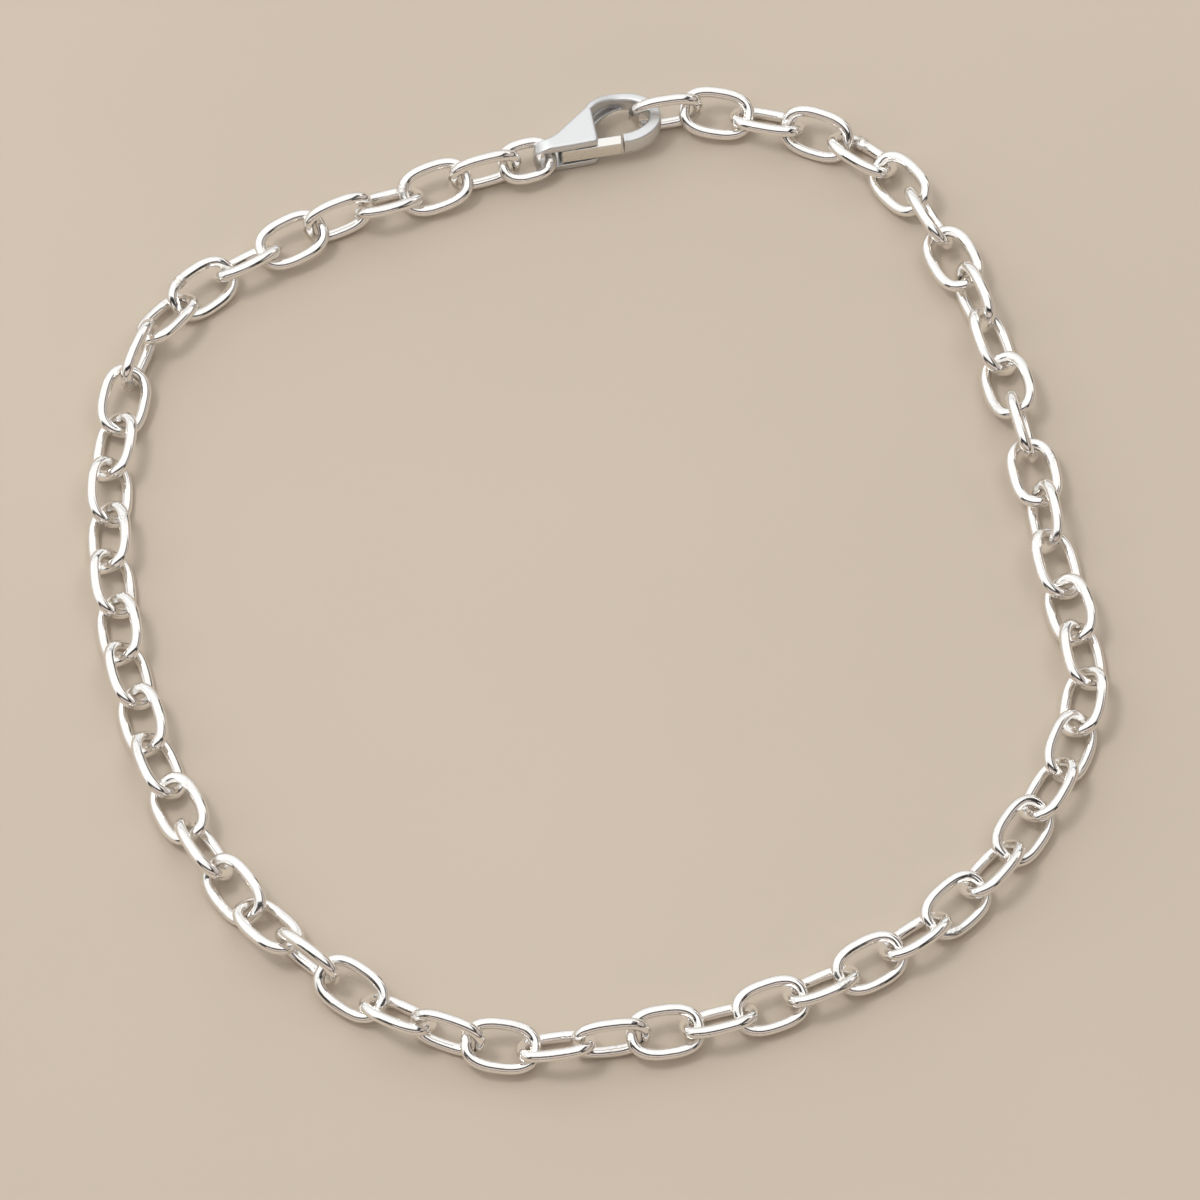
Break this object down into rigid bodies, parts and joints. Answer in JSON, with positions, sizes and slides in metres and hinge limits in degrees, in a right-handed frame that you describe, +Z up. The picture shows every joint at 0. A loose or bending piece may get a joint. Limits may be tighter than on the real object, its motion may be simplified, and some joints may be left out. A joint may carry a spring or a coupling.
{
  "type": "chain bracelet",
  "caption": "Oval cable-link chain bracelet lying as a closed loop on a surface, fastened by a sprung lobster-claw clasp.",
  "frame": {"origin": "centre of the laid loop's bounding box, on the surface the bracelet lies on", "axes": "+Z up from the surface; +Y from the front of the loop to the clasp at the back; +X to the right, from the clasp's tail to its hook"},
  "size_m": [0.0592, 0.0656, 0.0031],
  "materials": {
    "polished_silver": "polished sterling silver wire with fine handling scratches",
    "satin_silver": "satin cast sterling silver"
  },
  "bodies": {
    "chain": {"end_ring": "polished_silver", "link_02": "polished_silver", "link_03": "polished_silver", "link_04": "polished_silver", "link_05": "polished_silver", "link_06": "polished_silver", "link_07": "polished_silver", "link_08": "polished_silver", "link_09": "polished_silver", "link_10": "polished_silver", "link_11": "polished_silver", "link_12": "polished_silver", "link_13": "polished_silver", "link_14": "polished_silver", "link_15": "polished_silver", "link_16": "polished_silver", "link_17": "polished_silver", "link_18": "polished_silver", "link_19": "polished_silver", "link_20": "polished_silver", "link_40": "polished_silver", "link_41": "polished_silver", "link_42": "polished_silver", "link_43": "polished_silver", "link_44": "polished_silver", "link_45": "polished_silver", "link_46": "polished_silver", "link_47": "polished_silver", "link_48": "polished_silver", "link_49": "polished_silver", "link_50": "polished_silver", "link_51": "polished_silver", "link_52": "polished_silver", "link_53": "polished_silver", "link_54": "polished_silver", "link_55": "polished_silver", "link_56": "polished_silver", "link_57": "polished_silver", "link_58": "polished_silver", "link_59": "polished_silver", "links_21_25": "polished_silver", "links_26_31": "polished_silver", "links_32_35": "polished_silver", "links_36_39": "polished_silver", "clasp_body": "satin_silver", "clasp_pin": "polished_silver"},
    "lever": {"clasp_lever": "polished_silver"}
  },
  "joints": [
    {"name": "clasp_hinge", "type": "hinge", "parent": "chain", "child": "lever", "pos_m": [-0.00107, 0.02885, 0.0013], "axis": [0, 0, 1], "range_deg": [0, 22], "stiffness_Nm_per_rad": 0.002, "springref_deg": -11.46}
  ]
}
